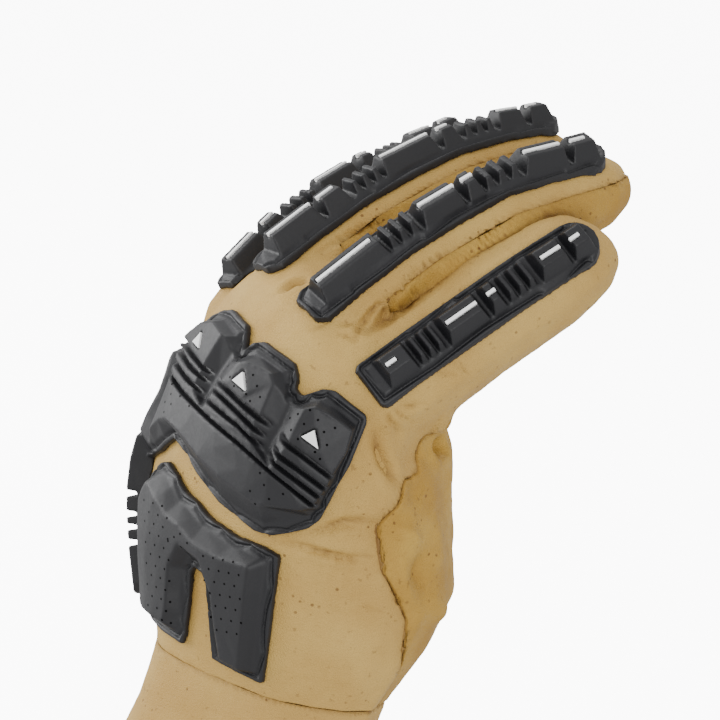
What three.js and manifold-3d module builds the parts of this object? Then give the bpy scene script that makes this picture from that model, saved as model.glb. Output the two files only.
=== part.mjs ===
// Impact glove for the right hand, in the form that it has on a half closed hand.
// Frame: +Z runs up from the cuff opening to the knuckles, -Y is the back of the hand and
// +X is the little finger's side. The fingers bend towards +Y. Lengths are in millimetres.
// The origin is the centre of the cuff opening.

import * as THREE from 'three';
import { mergeVertices } from 'three/addons/utils/BufferGeometryUtils.js';
import Module from 'manifold-3d';

const wasm = await Module();
wasm.setup();

// Driving sizes
const cuffHeight = 46;
const palmLength = 97.5;
const knuckleSpan = 61;
const handDepth = 44;
const fingerLength = 104;
const fingerWidth = 26;
const boneToBack = 14;
const fingerDepth = 27;
const thumbWidth = 28;
const leatherWall = 1.8;
const clearance = 0.3;

// Each finger: where its wrist bone and knuckle lie (across as shares of the knuckle span,
// deep as shares of the hand's depth, high as a share of the palm's length), its three bones
// as shares of the finger length, how its joints bend and how it spreads, turns and leans
// (degrees), its thickness as a share of the finger sizes, how much deeper its palm side is at
// the root, how far the flank by the next finger stands out in millimetres, and its tip as one
// of `tipRoom`. A seam's place is a share of the depth of the back, below the bone line: `seams`
// are those within the hand and `sideSeams` those of the free finger.
const fingers = [
  { name: 'index', wristX: -0.3, wristY: -0.07, x: -0.503, y: 0.075, high: 0.852,
    bones: [0.423, 0.25, 0.231], bends: [50.5, 13.7, 6.5],
    spread: -11.5, turn: 0.9, lean: -4, seams: [0.6, 0.3], sideSeams: [0.6, -0.65],
    thick: 1, belly: 0, flank: 0, tip: 1 },
  { name: 'middle', wristX: -0.1, wristY: -0.07, x: -0.184, y: 0.007, high: 1,
    bones: [0.471, 0.288, 0.24], bends: [54.8, 9.4, 13.1],
    spread: -5.2, turn: -5.8, lean: 3, seams: [0.3, 0.3], sideSeams: [0.3, -0.9],
    thick: 1.02, belly: 0, flank: 0, tip: 1 },
  { name: 'ring', wristX: 0.16, wristY: 0.03, x: 0.19, y: -0.052, high: 0.948,
    bones: [0.433, 0.269, 0.27], bends: [47.9, 9.4, 18.1],
    spread: 13.4, turn: 0.8, lean: 11, seams: [0.34, 0.3], sideSeams: [0.34, -0.78],
    thick: 1, belly: 0, flank: 0, tip: 1.4 },
  { name: 'pinky', wristX: 0.42, wristY: 0.19, x: 0.498, y: 0.102, high: 0.818,
    bones: [0.356, 0.202, 0.212], bends: [43.6, -1, 4.7],
    spread: 31.2, turn: 14.8, lean: 22, seams: [0.3, 0.93], sideSeams: [0.3, 0.93],
    thick: 0.98, belly: 0.5, flank: 6, tip: 1 },
];
const bendReach = 9;
const knuckleReach = 14;

const degrees = Math.PI / 180;
const up = new THREE.Vector3(0, 0, 1);

// Smooth step from 0 to 1
function ease(x) {
  const t = Math.min(1, Math.max(0, x));
  return t * t * (3 - 2 * t);
}

// A point `a` along, `b` out and `c` sideways from a frame's origin
function offset(frame, a, b, c) {
  return frame.at.clone()
    .addScaledVector(frame.along, a)
    .addScaledVector(frame.out, b)
    .addScaledVector(frame.side, c);
}

// Directions of a finger's bone line at `s` mm past the knuckle
function fingerDirections(finger, s) {
  const first = finger.bones[0] * fingerLength;
  const second = first + finger.bones[1] * fingerLength;
  const bend = degrees * (finger.bends[0]
    + finger.bends[1] * ease((s - first + bendReach) / (2 * bendReach))
    + finger.bends[2] * ease((s - second + bendReach) / (2 * bendReach)));
  const spread = degrees * finger.spread;
  const ahead = new THREE.Vector3(Math.sin(spread), 0, Math.cos(spread));
  const inward = new THREE.Vector3(0, 1, 0);
  ahead.applyAxisAngle(up, degrees * finger.turn);
  inward.applyAxisAngle(up, degrees * finger.turn);
  const lean = degrees * finger.lean;
  const palmAlong = finger.knuckle.clone().sub(finger.wrist).normalize();
  const palmOut = new THREE.Vector3(Math.sin(lean), -Math.cos(lean), 0);
  palmOut.addScaledVector(palmAlong, -palmOut.dot(palmAlong)).normalize();
  const share = ease((s + knuckleReach) / (2 * knuckleReach));
  const along = ahead.clone().multiplyScalar(Math.cos(bend)).addScaledVector(inward, Math.sin(bend));
  const out = ahead.clone().multiplyScalar(Math.sin(bend)).addScaledVector(inward, -Math.cos(bend));
  along.lerpVectors(palmAlong, along, share).normalize();
  out.lerpVectors(palmOut, out, share);
  out.addScaledVector(along, -out.dot(along)).normalize();
  const side = new THREE.Vector3().crossVectors(along, out);
  return { along, out, side };
}

// The bone line of a finger as frames one millimetre apart, from the wrist to past the tip
function traceRay(finger) {
  finger.wrist = new THREE.Vector3(finger.wristX * knuckleSpan, finger.wristY * handDepth, cuffHeight);
  finger.knuckle = new THREE.Vector3(finger.x * knuckleSpan, finger.y * handDepth,
    cuffHeight + finger.high * palmLength);
  finger.palm = finger.knuckle.distanceTo(finger.wrist);
  finger.length = (finger.bones[0] + finger.bones[1] + finger.bones[2]) * fingerLength;
  const frames = new Map();
  const zero = Math.ceil(finger.palm) + 4;
  const count = zero + Math.ceil(finger.length) + 24;
  const trail = (from, to, step) => {
    let at = finger.knuckle.clone();
    for (let i = from; i !== to; i += step) {
      const directions = fingerDirections(finger, i - zero);
      frames.set(i, { at: at.clone(), ...directions });
      const middle = fingerDirections(finger, i - zero + step / 2);
      at = at.addScaledVector(middle.along, step);
    }
  };
  trail(zero, count, 1);
  trail(zero, -1, -1);
  finger.frames = frames;
  finger.zero = zero;
  finger.count = count;
  finger.restOut = frames.get(0).out;
}
fingers.forEach(traceRay);

// The frame of a finger's bone line at `s` mm past the knuckle
function rayAt(finger, s) {
  const place = Math.min(finger.count - 1.001, Math.max(0, s + finger.zero));
  const low = Math.floor(place);
  const share = place - low;
  const a = finger.frames.get(low);
  const b = finger.frames.get(low + 1);
  const mix = key => new THREE.Vector3().lerpVectors(a[key], b[key], share);
  const frame = { at: mix('at'), along: mix('along').normalize(), out: mix('out') };
  frame.out.addScaledVector(frame.along, -frame.out.dot(frame.along)).normalize();
  frame.side = new THREE.Vector3().crossVectors(frame.along, frame.out);
  return frame;
}

// A closed geometry through rings of points, with a fan of triangles at each end
function skin(rings) {
  const sides = rings[0].length;
  const vertices = rings.flat();
  const centre = ring => ring.reduce((sum, p) => sum.add(p), new THREE.Vector3()).divideScalar(sides);
  vertices.push(centre(rings[0]), centre(rings[rings.length - 1]));
  const index = [];
  const last = (rings.length - 1) * sides;
  for (let j = 0; j < sides; j++) {
    const k = (j + 1) % sides;
    for (let i = 0; i < last; i += sides) {
      index.push(i + j, i + k, i + sides + j, i + k, i + sides + k, i + sides + j);
    }
    index.push(vertices.length - 2, k, j, vertices.length - 1, last + j, last + k);
  }
  const geometry = new THREE.BufferGeometry();
  geometry.setAttribute('position', new THREE.Float32BufferAttribute(vertices.flatMap(v => v.toArray()), 3));
  geometry.setIndex(index);
  return geometry;
}

// A solid for joining and cutting, from a closed geometry
function solid(geometry) {
  const bare = geometry.clone();
  bare.deleteAttribute('normal');
  bare.deleteAttribute('uv');
  const merged = mergeVertices(bare, 1e-4);
  const mesh = new wasm.Mesh({
    numProp: 3,
    vertProperties: new Float32Array(merged.attributes.position.array),
    triVerts: new Uint32Array(merged.index.array),
  });
  return new wasm.Manifold(mesh);
}

function union(solids) {
  return solids.reduce((sum, next) => sum.add(next));
}

// The hand and cuff as rows from the cuff opening (-2) over the wrist (-1) and the knuckles (0)
// to the finger roots (1). The columns are shares of the boneToBack size (back), the hand's
// depth (palm, under the index finger and under the little finger) and the finger width (sides).
const handSections = [
  { at: -2.04, backIndex: 1.5, backPinky: 1.6, palmIndex: 0.66, palmPinky: 0.66,
    sideIndex: 0.86, sidePinky: 0.8, heel: 0, drop: 0, seam: 0.1 },
  { at: -1.7, backIndex: 1.3, backPinky: 1.4, palmIndex: 0.62, palmPinky: 0.68,
    sideIndex: 0.74, sidePinky: 0.76, heel: 0, drop: 0.02, seam: 0.12 },
  { at: -1.35, backIndex: 0.9, backPinky: 1, palmIndex: 0.58, palmPinky: 0.72,
    sideIndex: 0.52, sidePinky: 0.74, heel: 0, drop: 0.05, seam: 0.16 },
  { at: -1, backIndex: 0.66, backPinky: 0.8, palmIndex: 0.58, palmPinky: 0.92,
    sideIndex: 0.46, sidePinky: 0.8, heel: 0.15, drop: 0.1, seam: 0.2 },
  { at: -0.82, backIndex: 0.72, backPinky: 0.88, palmIndex: 0.62, palmPinky: 1.12,
    sideIndex: 0.7, sidePinky: 0.98, heel: 0.4, drop: 0.2, seam: 0.22 },
  { at: -0.64, backIndex: 0.88, backPinky: 0.98, palmIndex: 0.68, palmPinky: 1.16,
    sideIndex: 0.96, sidePinky: 1.06, heel: 0.55, drop: 0.26, seam: 0.18 },
  { at: -0.46, backIndex: 0.96, backPinky: 1, palmIndex: 0.72, palmPinky: 1.13,
    sideIndex: 1.08, sidePinky: 1, heel: 0.55, drop: 0.24, seam: 0.01 },
  { at: -0.28, backIndex: 0.92, backPinky: 1, palmIndex: 0.7, palmPinky: 1.08,
    sideIndex: 0.9, sidePinky: 0.86, heel: 0.45, drop: 0.16, seam: -0.04 },
  { at: -0.12, backIndex: 0.76, backPinky: 1, palmIndex: 0.64, palmPinky: 1.04,
    sideIndex: 0.54, sidePinky: 0.7, heel: 0.4, drop: 0.1, seam: 0.14 },
  { at: 0.02, backIndex: 0.74, backPinky: 1, palmIndex: 0.57, palmPinky: 0.99,
    sideIndex: 0.46, sidePinky: 0.58, heel: 0.3, drop: 0.06, seam: 0.3 },
  { at: 0.3, backIndex: 0.84, backPinky: 0.98, palmIndex: 0.5, palmPinky: 0.98,
    sideIndex: 0.46, sidePinky: 0.5, heel: 0.2, drop: 0.03, seam: 0.28 },
  { at: 0.65, backIndex: 0.84, backPinky: 0.86, palmIndex: 0.42, palmPinky: 0.86,
    sideIndex: 0.44, sidePinky: 0.44, heel: 0.15, drop: 0, seam: 0.2 },
  { at: 1, backIndex: 0.56, backPinky: 0.56, palmIndex: 0.3, palmPinky: 0.56,
    sideIndex: 0.34, sidePinky: 0.34, heel: 0.05, drop: 0, seam: 0.12 },
];
const webReach = 26;
const handSides = 30;
const handInnerSides = 18;
// How far the palm keeps the wrist's direction where the fingers bend
const palmHold = 0.85;

// A table's column at any place between its rows, on a smooth curve through the rows
function column(table, at, key) {
  const last = table.length - 1;
  let i = 0;
  while (i < last - 1 && table[i + 1].at < at) i++;
  const [a, b] = [table[i], table[i + 1]];
  const before = table[Math.max(0, i - 1)];
  const after = table[Math.min(last, i + 2)];
  const span = b.at - a.at;
  const t = Math.min(1, Math.max(0, (at - a.at) / span));
  const slopeA = span * (b[key] - before[key]) / (b.at - before.at);
  const slopeB = span * (after[key] - a[key]) / (after.at - a.at);
  const t2 = t * t;
  const t3 = t2 * t;
  return a[key] * (2 * t3 - 3 * t2 + 1) + slopeA * (t3 - 2 * t2 + t)
    + b[key] * (3 * t2 - 2 * t3) + slopeB * (t3 - t2);
}

// A finger's frame at a row of the hand's table
function handFrame(finger, at) {
  if (at >= 0) return rayAt(finger, at * webReach);
  if (at >= -1) return rayAt(finger, at * finger.palm);
  const frame = rayAt(finger, -finger.palm);
  const level = ease((-1 - at) / 0.3);
  frame.at.z += (at + 1) * cuffHeight;
  frame.out.z *= 1 - level;
  frame.out.normalize();
  frame.along.lerp(up, level).normalize();
  return frame;
}

// The frames of all fingers at a row, for the back and for the palm
function handFrames(at) {
  const backs = fingers.map(finger => handFrame(finger, at));
  const palms = backs.map((frame, i) => {
    const out = frame.out.clone().lerp(fingers[i].restOut, palmHold).normalize();
    return { ...frame, out };
  });
  return { backs, palms };
}

// The closed curve round the hand at a row: index side, four backs, little finger's side and
// four points on the palm. `grow` moves it outwards.
function handCurve(at, grow) {
  const value = key => column(handSections, at, key);
  const across = (key, i) => value(`${key}Index`) + (value(`${key}Pinky`) - value(`${key}Index`)) * i / 3;
  const { backs, palms } = handFrames(at);
  const deep = i => across('palm', i) * handDepth + grow;
  const points = [
    offset(palms[0], 0, 0, -value('sideIndex') * fingerWidth - grow),
    ...backs.map((frame, i) => offset(frame, 0, across('back', i) * boneToBack + grow, 0)),
    offset(palms[3], 0, -value('drop') * handDepth, value('sidePinky') * fingerWidth + grow),
    offset(palms[3], 0, -deep(3), value('heel') * fingerWidth),
    ...[2, 1, 0].map(i => offset(palms[i], 0, -deep(i), 0)),
  ];
  return new THREE.CatmullRomCurve3(points, true, 'centripetal');
}

// The main dents of the leather on the little finger's side: the place of the middle as a row
// and as a share of the way round from the index side, the reach along and round the hand in
// the same shares, and the depth in millimetres.
const dents = [
  { name: 'hollow beside the palm', at: -0.42, turn: 0.565, long: 0.15, round: 0.035, depth: 2.4 },
  { name: 'pinch below the knuckle', at: -0.26, turn: 0.51, long: 0.06, round: 0.03, depth: 1.6 },
  { name: 'fold under the little finger', at: -0.04, turn: 0.56, long: 0.07, round: 0.03, depth: 2 },
];
const dentRows = [-0.37, -0.2, -0.04];
const innerSpread = 1.6;
const bell = x => Math.exp(-x * x);

function handSolid(grow) {
  const [sides, spread] = grow < 0 ? [handInnerSides, innerSpread] : [handSides, 1];
  const rows = [...handSections.map(({ at }) => at), ...dentRows].sort((a, b) => a - b);
  const rings = rows.map(at => {
    const curve = handCurve(at, grow);
    const along = handFrame(fingers[3], at).along;
    return Array.from({ length: sides }, (_, i) => {
      const turn = i / sides;
      const outwards = curve.getTangent(turn).cross(along).normalize();
      const depth = dents.reduce((sum, dent) => sum + dent.depth
        * bell((at - dent.at) / dent.long) * bell((turn - dent.turn) / (spread * dent.round)), 0);
      return curve.getPoint(turn).addScaledVector(outwards, -depth);
    });
  });
  return solid(skin(rings));
}

// All that lies on the back's side of the hand's seams, which run at the seam column's depth.
// `grow` moves the cut towards the palm. The fingers' own cuts go on from the last row but one.
const beyond = 30;
function handBackHalf(grow) {
  const rings = handSections.slice(0, -1).map(({ at }) => {
    const deep = column(handSections, at, 'seam') * handDepth + grow;
    const { backs, palms } = handFrames(at);
    return [
      offset(palms[0], 0, -deep, -beyond),
      offset(backs[0], 0, beyond, -beyond),
      ...backs.map(frame => offset(frame, 0, beyond, 0)),
      offset(backs[3], 0, beyond, beyond),
      offset(palms[3], 0, -deep, 1.4 * beyond),
      ...[3, 2, 1, 0].map(i => offset(palms[i], 0, -deep, 0)),
    ];
  });
  return solid(skin(rings));
}

// The fingers' sections along the bone line, in shares of each finger's length, with widths and
// depths as shares of the finger sizes, and the flank as a share of the finger's own. Past the
// last row the tip is rounded.
const fingerSections = [
  { at: -0.1, wide: 0.6, back: 0.6, deep: 0.7, flank: 0 },
  { at: 0.1, wide: 0.9, back: 0.95, deep: 0.95, flank: 0.4 },
  { at: 0.26, wide: 1, back: 1, deep: 1.02, flank: 0.75 },
  { at: 0.42, wide: 1, back: 1, deep: 1.04, flank: 0.75 },
  { at: 0.57, wide: 0.99, back: 0.99, deep: 1, flank: 0.95 },
  { at: 0.72, wide: 0.99, back: 0.99, deep: 1, flank: 1.05 },
  { at: 0.86, wide: 0.98, back: 0.97, deep: 0.96, flank: 0.95 },
  { at: 0.97, wide: 0.95, back: 0.94, deep: 0.92, flank: 0.85 },
];
const tipRoom = 15;
const tipAngles = [30, 58, 80];
const fingerSides = 12;
const fingerInnerSides = 8;
const roundness = 2.3;

// One ring of a finger. The flank stands out between the back and the side.
const flankAngle = 40;
const flankSpread = 25;
function fingerRing(finger, s, wide, back, deep, flank, sides) {
  const frame = rayAt(finger, s);
  return Array.from({ length: sides }, (_, i) => {
    const angle = 2 * Math.PI * i / sides;
    const c = Math.cos(angle);
    const d = Math.sin(angle);
    const x = -wide * Math.sign(c) * Math.abs(c) ** (2 / roundness);
    const y = (d > 0 ? back : deep) * Math.sign(d) * Math.abs(d) ** (2 / roundness);
    const push = flank * Math.exp(-(((angle / degrees - flankAngle) / flankSpread) ** 2));
    return offset(frame, 0, y + 0.6 * push, x - 0.8 * push);
  });
}

function fingerSolid(finger, grow) {
  const sides = grow < 0 ? fingerInnerSides : fingerSides;
  const size = (row, key, full) => row[key] * full * finger.thick + grow;
  const boneToPalm = row => (fingerDepth - boneToBack) * (1 + finger.belly * (1 - row.at));
  const flank = row => finger.flank * row.flank * (1 + grow / 6);
  const ring = (row, s, shrink) => fingerRing(finger, s, shrink * size(row, 'wide', fingerWidth / 2),
    shrink * size(row, 'back', boneToBack), shrink * size(row, 'deep', boneToPalm(row)),
    shrink * flank(row), sides);
  const rings = fingerSections.map(row => ring(row, row.at * finger.length, 1));
  const end = fingerSections[fingerSections.length - 1];
  const reach = tipRoom * finger.tip + grow;
  for (const angle of tipAngles) {
    const s = end.at * finger.length + reach * Math.sin(angle * degrees);
    rings.push(ring(end, s, Math.cos(angle * degrees)));
  }
  return solid(skin(rings));
}

// All of a finger that lies on the back's side of two seams
function fingerBackHalf(finger, seams, grow) {
  const [left, right] = seams.map(share => -share * boneToBack - grow);
  const reach = fingerWidth / 2 + finger.flank + 2 + grow;
  const tip = { at: 1 + 2 * tipRoom * finger.tip / finger.length };
  const rings = [...fingerSections, tip].map((row, i) => {
    const frame = rayAt(finger, row.at * finger.length);
    const corner = (b, c) => offset(frame, i === 0 ? -grow : 0, b, c);
    return [corner(left, -reach), corner(beyond, -reach), corner(beyond, reach), corner(right, reach)];
  });
  return solid(skin(rings));
}

// The whole hand without the thumb, grown by `grow`
const bodySolid = grow => union([handSolid(grow), ...fingers.map(f => fingerSolid(f, grow))]);
const backHalf = grow => union([handBackHalf(grow), ...fingers.map(f => fingerBackHalf(f, f.seams, grow))]);

// A box from corner to corner
function boxSolid(x0, y0, z0, x1, y1, z1) {
  const box = new THREE.BoxGeometry(x1 - x0, y1 - y0, z1 - z0);
  box.translate((x0 + x1) / 2, (y0 + y1) / 2, (z0 + z1) / 2);
  return solid(box);
}
const far = 300;
const belowWrist = boxSolid(-far, -far, -far, far, far, cuffHeight);
const aboveCuff = boxSolid(-far, -far, cuffHeight - clearance, far, far, far);
const belowFloor = boxSolid(-far, -far, -far, far, far, 0);

// The thumb: a tube along a curve from inside the palm. Across is a share of the knuckle span,
// deep a share of the hand's depth and high a share of the palm's length.
const thumbPoints = [
  { x: -0.34, y: 0.28, high: 0.3 },
  { x: -0.52, y: 0.62, high: 0.42 },
  { x: -0.58, y: 1, high: 0.62 },
  { x: -0.56, y: 1.34, high: 0.84 },
  { x: -0.5, y: 1.56, high: 1.04 },
];
const thumbSections = [
  { at: 0, wide: 1.1, deep: 1.1 },
  { at: 0.22, wide: 1.12, deep: 1.12 },
  { at: 0.42, wide: 1, deep: 0.98 },
  { at: 0.6, wide: 0.96, deep: 0.92 },
  { at: 0.78, wide: 0.96, deep: 0.88 },
  { at: 0.9, wide: 0.88, deep: 0.8 },
  { at: 0.96, wide: 0.68, deep: 0.62 },
  { at: 1, wide: 0.3, deep: 0.28 },
];
function thumbSolid(grow) {
  const line = new THREE.CatmullRomCurve3(thumbPoints.map(({ x, y, high }) =>
    new THREE.Vector3(x * knuckleSpan, y * handDepth, cuffHeight + high * palmLength)));
  const rings = thumbSections.map(({ at, wide, deep }, row) => {
    const along = line.getTangentAt(at);
    const side = new THREE.Vector3().crossVectors(along, new THREE.Vector3(1, 0, 0)).normalize();
    const out = new THREE.Vector3().crossVectors(side, along);
    const atTip = row === thumbSections.length - 1;
    const frame = { at: line.getPointAt(at).addScaledVector(along, atTip ? grow : 0), along, out, side };
    return Array.from({ length: fingerSides }, (_, i) => {
      const angle = 2 * Math.PI * i / fingerSides;
      const across = Math.cos(angle) * Math.max(1, wide * thumbWidth / 2 + grow);
      return offset(frame, 0, Math.sin(angle) * Math.max(1, deep * thumbWidth / 2 + grow), -across);
    });
  });
  return solid(skin(rings));
}

const outer = bodySolid(0);
const thumbInner = thumbSolid(-leatherWall);
const inner = bodySolid(-leatherWall);
const shell = outer.subtract(inner);
const hand = shell.subtract(belowWrist).subtract(thumbInner);
const cuffTube = shell.subtract(aboveCuff).subtract(belowFloor);
const backLeather = hand.intersect(backHalf(0));
const palmLeather = hand.subtract(backHalf(clearance)).subtract(backHalf(0));
const seat = bodySolid(clearance);

// The fingers are cut from the hand where they part, `webReach` and a little past the knuckles.
// A finger's room is all of it from there to the tip, and neighbours don't share any.
const rootCut = webReach + 3;
const skinRoom = 0.02;
function fingerRoom(finger, grow, gap) {
  const frame = rayAt(finger, rootCut - gap);
  const square = a => [[-far, -far], [far, -far], [far, far], [-far, far]].map(([b, c]) => offset(frame, a, b, c));
  return fingerSolid(finger, grow).intersect(solid(skin([square(0), square(far)])));
}
const rooms = fingers.map((finger, i) => fingers.slice(0, i).reduce(
  (room, before) => room.subtract(fingerRoom(before, clearance, clearance)), fingerRoom(finger, skinRoom, 0)));
const allRooms = union(fingers.map(finger => fingerRoom(finger, skinRoom, clearance)));
const thumbLeather = thumbSolid(0).subtract(thumbInner).subtract(seat);

// Guards are drawn flat, x across and y along the hand or finger and z off the leather, and
// are then bent over it. These are their heights and widths.
const flangeHeight = 2.2;
const flangeTaper = 0.5;
const plateHeight = 6;
const sunk = 1.6;
const handStep = 12;
const fingerStep = 20;

// The outline moved inwards by `distance`
function inset(outline, distance) {
  const count = outline.length;
  return outline.map((point, i) => {
    const before = outline[(i + count - 1) % count];
    const after = outline[(i + 1) % count];
    const first = point.clone().sub(before).normalize();
    const second = after.clone().sub(point).normalize();
    const normal = new THREE.Vector2(-first.y - second.y, first.x + second.x).normalize();
    const share = Math.max(0.5, normal.x * -first.y + normal.y * first.x);
    return point.clone().addScaledVector(normal, distance / share);
  });
}

// A flat plate between two outlines of the same points
function plate(lower, upper, z0, z1) {
  const count = lower.length;
  const vertices = [...lower.map(p => [p.x, p.y, z0]), ...upper.map(p => [p.x, p.y, z1])];
  const index = [];
  for (const [a, b, c] of THREE.ShapeUtils.triangulateShape(lower, [])) index.push(a, c, b);
  for (const [a, b, c] of THREE.ShapeUtils.triangulateShape(upper, [])) index.push(a + count, b + count, c + count);
  for (let i = 0; i < count; i++) {
    const j = (i + 1) % count;
    index.push(i, j, i + count, j, j + count, i + count);
  }
  const geometry = new THREE.BufferGeometry();
  geometry.setAttribute('position', new THREE.Float32BufferAttribute(vertices.flat(), 3));
  geometry.setIndex(index);
  return solid(geometry);
}
const corner = (x, y) => new THREE.Vector2(x, y);
const block = (x0, x1, y0, y1) => [corner(x0, y0), corner(x1, y0), corner(x1, y1), corner(x0, y1)];

// A bar across or along a guard with sloping sides
function ridge(x0, x1, y0, y1, slopeX, slopeY, z0, z1) {
  return plate(block(x0, x1, y0, y1), block(x0 + slopeX, x1 - slopeX, y0 + slopeY, y1 - slopeY), z0, z1);
}

// Splits edges longer than `step`, so that a flat solid can be bent, and moves every corner
// by `place`
function bend(flat, place, step) {
  const mesh = flat.getMesh();
  const points = [];
  for (let i = 0; i < mesh.vertProperties.length; i += 3) {
    points.push(new THREE.Vector3(...mesh.vertProperties.slice(i, i + 3)));
  }
  let triangles = [];
  for (let i = 0; i < mesh.triVerts.length; i += 3) triangles.push([...mesh.triVerts.slice(i, i + 3)]);
  for (let split = true; split;) {
    split = false;
    const halves = new Map();
    const half = (a, b) => {
      const key = a < b ? `${a} ${b}` : `${b} ${a}`;
      if (!halves.has(key)) {
        const long = points[a].distanceTo(points[b]) > step;
        halves.set(key, long ? points.push(points[a].clone().add(points[b]).multiplyScalar(0.5)) - 1 : -1);
      }
      return halves.get(key);
    };
    const next = [];
    for (let [a, b, c] of triangles) {
      const lengths = [[a, b], [b, c], [c, a]].map(([i, j]) => points[i].distanceTo(points[j]));
      const longest = lengths.indexOf(Math.max(...lengths));
      if (longest === 1) [a, b, c] = [b, c, a];
      if (longest === 2) [a, b, c] = [c, a, b];
      const [ab, bc, ca] = [half(a, b), half(b, c), half(c, a)];
      if (ab < 0) {
        next.push([a, b, c]);
        continue;
      }
      split = true;
      if (bc < 0 && ca < 0) next.push([a, ab, c], [ab, b, c]);
      else if (ca < 0) next.push([a, ab, c], [ab, b, bc], [ab, bc, c]);
      else if (bc < 0) next.push([a, ab, ca], [ab, b, c], [ab, c, ca]);
      else next.push([a, ab, ca], [ab, b, bc], [ab, bc, ca], [ca, bc, c]);
    }
    triangles = next;
  }
  const geometry = new THREE.BufferGeometry();
  const placed = points.flatMap(p => place(p.x, p.y, p.z).toArray());
  geometry.setAttribute('position', new THREE.Float32BufferAttribute(placed, 3));
  geometry.setIndex(triangles.flat());
  return solid(geometry);
}

const colours = { tan: 0xcdb07e, gold: 0xcda862, rubber: 0x2b2b2e, white: 0xf2f2ef };
const glove = new THREE.Group();

// The triangles of a mesh's largest connected surface, without the scraps that cuts leave
function largestSurface(vertProperties, triVerts) {
  const parent = Array.from({ length: vertProperties.length / 3 }, (_, i) => i);
  const root = i => {
    while (parent[i] !== i) i = parent[i] = parent[parent[i]];
    return i;
  };
  for (let i = 0; i < triVerts.length; i += 3) {
    parent[root(triVerts[i])] = root(triVerts[i + 1]);
    parent[root(triVerts[i + 1])] = root(triVerts[i + 2]);
  }
  const surfaces = new Map();
  for (let i = 0; i < triVerts.length; i += 3) {
    const key = root(triVerts[i]);
    if (!surfaces.has(key)) surfaces.set(key, []);
    surfaces.get(key).push(...triVerts.slice(i, i + 3));
  }
  return [...surfaces.values()].sort((a, b) => b.length - a.length)[0];
}

// Corners closer together than this become one
const cornerMerge = 0.002;
function addPiece(name, manifold, colour, roughness) {
  const mesh = manifold.getMesh();
  const cut = new THREE.BufferGeometry();
  cut.setAttribute('position', new THREE.BufferAttribute(mesh.vertProperties, 3));
  cut.setIndex(new THREE.BufferAttribute(mesh.triVerts, 1));
  const geometry = mergeVertices(cut, cornerMerge);
  const corners = geometry.index.array;
  const whole = [];
  for (let i = 0; i < corners.length; i += 3) {
    const [a, b, c] = corners.slice(i, i + 3);
    if (a !== b && b !== c && c !== a) whole.push(a, b, c);
  }
  geometry.setIndex(largestSurface(geometry.attributes.position.array, whole));
  const piece = new THREE.Mesh(geometry, new THREE.MeshStandardMaterial({ color: colour, roughness, metalness: 0 }));
  piece.name = name;
  glove.add(piece);
}
addPiece('back_leather', backLeather.subtract(allRooms), colours.tan, 0.7);
addPiece('palm_leather', palmLeather.subtract(allRooms), colours.gold, 0.75);
fingers.forEach((finger, i) => {
  const leather = hand.intersect(rooms[i]);
  const back = grow => fingerBackHalf(finger, finger.sideSeams, grow);
  addPiece(`${finger.name}_finger_back`, leather.intersect(back(0)), colours.tan, 0.7);
  addPiece(`${finger.name}_finger_front`, leather.subtract(back(clearance)).subtract(back(0)), colours.gold, 0.75);
});
addPiece('thumb', thumbLeather, colours.gold, 0.75);
addPiece('cuff', cuffTube, colours.tan, 0.7);

// The guards on the back of the hand, drawn flat over the hand's table: x is a share of the
// knuckle span from the ring finger's bone line towards the little finger, and y a share of the
// palm's length from the knuckles. A body's outline and its top's have the same corners.
const knuckleFlange = [
  { x: 0.359, y: -0.31 }, { x: 0.393, y: -0.266 }, { x: 0.421, y: -0.186 },
  { x: 0.462, y: -0.062 }, { x: 0.436, y: 0.05 }, { x: 0.408, y: 0.062 },
  { x: 0.256, y: 0.05 }, { x: 0.221, y: 0.036 }, { x: 0.18, y: 0.003 },
  { x: 0.157, y: 0.003 }, { x: 0.146, y: 0.016 }, { x: 0.103, y: 0.03 },
  { x: -0.049, y: 0.014 }, { x: -0.097, y: -0.006 }, { x: -0.121, y: -0.029 },
  { x: -0.134, y: -0.016 }, { x: -0.166, y: 0.003 }, { x: -0.3, y: 0.003 },
  { x: -0.493, y: 0.006 }, { x: -0.689, y: 0.004 }, { x: -0.951, y: -0.01 },
  { x: -1.074, y: -0.082 }, { x: -1.09, y: -0.205 }, { x: -1.049, y: -0.338 },
  { x: -0.951, y: -0.39 }, { x: -0.836, y: -0.39 }, { x: -0.762, y: -0.361 },
  { x: -0.721, y: -0.347 }, { x: -0.551, y: -0.314 }, { x: -0.487, y: -0.347 },
  { x: -0.289, y: -0.432 }, { x: -0.103, y: -0.453 }, { x: 0.13, y: -0.438 },
  { x: 0.22, y: -0.403 },
];
const knuckleBody = [
  { x: 0.366, y: -0.252 }, { x: 0.384, y: -0.224 }, { x: 0.415, y: -0.128 },
  { x: 0.428, y: -0.028 }, { x: 0.403, y: 0.03 }, { x: 0.279, y: 0.027 },
  { x: 0.241, y: 0.021 }, { x: 0.193, y: -0.012 }, { x: 0.157, y: -0.023 },
  { x: 0.131, y: -0.006 }, { x: 0.092, y: 0.004 }, { x: -0.039, y: -0.013 },
  { x: -0.089, y: -0.033 }, { x: -0.128, y: -0.053 }, { x: -0.156, y: -0.045 },
  { x: -0.175, y: -0.025 }, { x: -0.305, y: -0.021 }, { x: -0.541, y: -0.018 },
  { x: -0.689, y: -0.021 }, { x: -0.918, y: -0.035 }, { x: -1.026, y: -0.097 },
  { x: -1.039, y: -0.205 }, { x: -1, y: -0.328 }, { x: -0.82, y: -0.354 },
  { x: -0.746, y: -0.332 }, { x: -0.525, y: -0.287 }, { x: -0.475, y: -0.322 },
  { x: -0.354, y: -0.383 }, { x: -0.21, y: -0.414 }, { x: -0.056, y: -0.423 },
  { x: 0.103, y: -0.407 }, { x: 0.18, y: -0.386 },
];
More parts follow.
